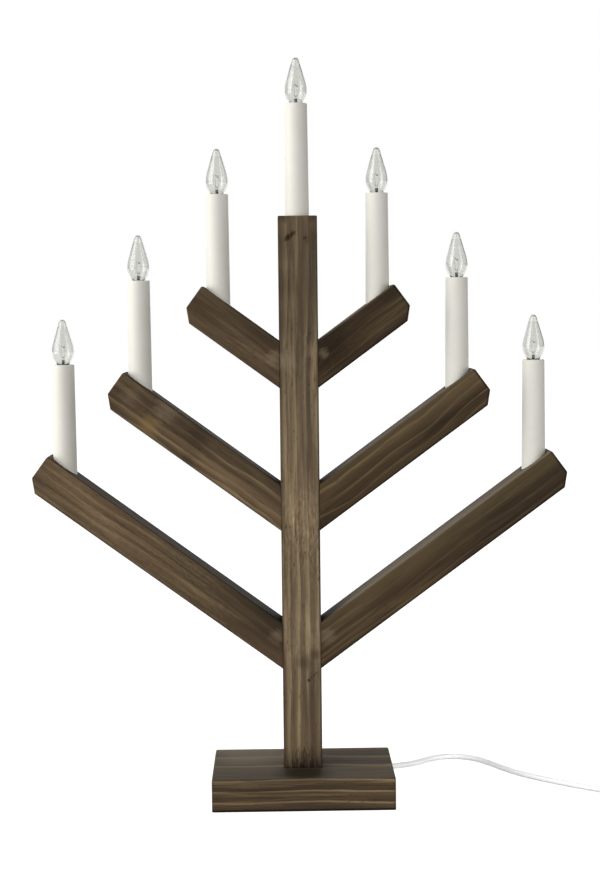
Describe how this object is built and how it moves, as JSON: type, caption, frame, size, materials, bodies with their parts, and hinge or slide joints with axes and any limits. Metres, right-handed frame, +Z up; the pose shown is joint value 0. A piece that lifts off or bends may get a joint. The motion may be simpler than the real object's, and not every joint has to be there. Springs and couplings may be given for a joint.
{
  "type": "electric candle arch",
  "caption": "Wooden electric candle arch: square post on a block base with pairs of slanting arms, upright candle lamps with clear flame-shaped bulbs, and a white mains lead.",
  "frame": {"origin": "middle of the base's underside, on the surface it stands on", "axes": "+Z up along the post, -Y out of the front face towards the viewer, +X to the viewer's right"},
  "size_m": [0.5192, 0.1748, 0.5347],
  "materials": {
    "stained_pine": "dark brown stain, satin, grain along each bar",
    "dowel_wood": "plain beech",
    "screw_steel": "zinc plated",
    "clamp_plastic": "matt white",
    "candle_plastic": "matt ivory",
    "holder_plastic": "matt black",
    "contact_brass": "plain",
    "lamp_glass": "clear",
    "cap_nickel": "nickel plated brass",
    "filament_metal": "drawn wire",
    "wire_plastic": "matt white insulation",
    "cord_plastic": "matt white sheath",
    "tie_plastic": "matt white",
    "plug_plastic": "smooth white moulding",
    "pin_metal": "nickel plated brass"
  },
  "bodies": {
    "frame": {"base_block": "stained_pine", "post": "stained_pine", "arm_lower_left": "stained_pine", "arm_lower_right": "stained_pine", "arm_middle_left": "stained_pine", "arm_middle_right": "stained_pine", "arm_upper_left": "stained_pine", "arm_upper_right": "stained_pine", "arm_dowels": "dowel_wood", "post_screws": "screw_steel", "clamp_screws": "screw_steel", "cord_clamp": "clamp_plastic", "candle_sleeve_top": "candle_plastic", "candle_sleeve_upper_left": "candle_plastic", "candle_sleeve_upper_right": "candle_plastic", "candle_sleeve_middle_left": "candle_plastic", "candle_sleeve_middle_right": "candle_plastic", "candle_sleeve_lower_left": "candle_plastic", "candle_sleeve_lower_right": "candle_plastic", "lamp_holder_top": "holder_plastic", "lamp_holder_upper_left": "holder_plastic", "lamp_holder_upper_right": "holder_plastic", "lamp_holder_middle_left": "holder_plastic", "lamp_holder_middle_right": "holder_plastic", "lamp_holder_lower_left": "holder_plastic", "lamp_holder_lower_right": "holder_plastic", "screw_shells": "contact_brass", "centre_contacts": "contact_brass", "lamp_wires_left": "wire_plastic", "lamp_wires_right": "wire_plastic", "cord_inner": "cord_plastic", "cord_lead": "cord_plastic", "cord_coil": "cord_plastic", "coil_tie": "tie_plastic", "plug_body": "plug_plastic", "plug_pins": "pin_metal"},
    "bulb_top": {"bulb_glass_top": "lamp_glass", "bulb_cap_top": "cap_nickel", "bulb_filament_top": "filament_metal"},
    "bulb_upper_left": {"bulb_glass_upper_left": "lamp_glass", "bulb_cap_upper_left": "cap_nickel", "bulb_filament_upper_left": "filament_metal"},
    "bulb_upper_right": {"bulb_glass_upper_right": "lamp_glass", "bulb_cap_upper_right": "cap_nickel", "bulb_filament_upper_right": "filament_metal"},
    "bulb_middle_left": {"bulb_glass_middle_left": "lamp_glass", "bulb_cap_middle_left": "cap_nickel", "bulb_filament_middle_left": "filament_metal"},
    "bulb_middle_right": {"bulb_glass_middle_right": "lamp_glass", "bulb_cap_middle_right": "cap_nickel", "bulb_filament_middle_right": "filament_metal"},
    "bulb_lower_left": {"bulb_glass_lower_left": "lamp_glass", "bulb_cap_lower_left": "cap_nickel", "bulb_filament_lower_left": "filament_metal"},
    "bulb_lower_right": {"bulb_glass_lower_right": "lamp_glass", "bulb_cap_lower_right": "cap_nickel", "bulb_filament_lower_right": "filament_metal"}
  },
  "joints": [
    {"name": "bulb_top_unscrew", "type": "slide", "parent": "frame", "child": "bulb_top", "axis": [0, 0, 1], "range_m": [0, 0.015]},
    {"name": "bulb_upper_left_unscrew", "type": "slide", "parent": "frame", "child": "bulb_upper_left", "axis": [0, 0, 1], "range_m": [0, 0.015]},
    {"name": "bulb_upper_right_unscrew", "type": "slide", "parent": "frame", "child": "bulb_upper_right", "axis": [0, 0, 1], "range_m": [0, 0.015]},
    {"name": "bulb_middle_left_unscrew", "type": "slide", "parent": "frame", "child": "bulb_middle_left", "axis": [0, 0, 1], "range_m": [0, 0.015]},
    {"name": "bulb_middle_right_unscrew", "type": "slide", "parent": "frame", "child": "bulb_middle_right", "axis": [0, 0, 1], "range_m": [0, 0.015]},
    {"name": "bulb_lower_left_unscrew", "type": "slide", "parent": "frame", "child": "bulb_lower_left", "axis": [0, 0, 1], "range_m": [0, 0.015]},
    {"name": "bulb_lower_right_unscrew", "type": "slide", "parent": "frame", "child": "bulb_lower_right", "axis": [0, 0, 1], "range_m": [0, 0.015]}
  ]
}
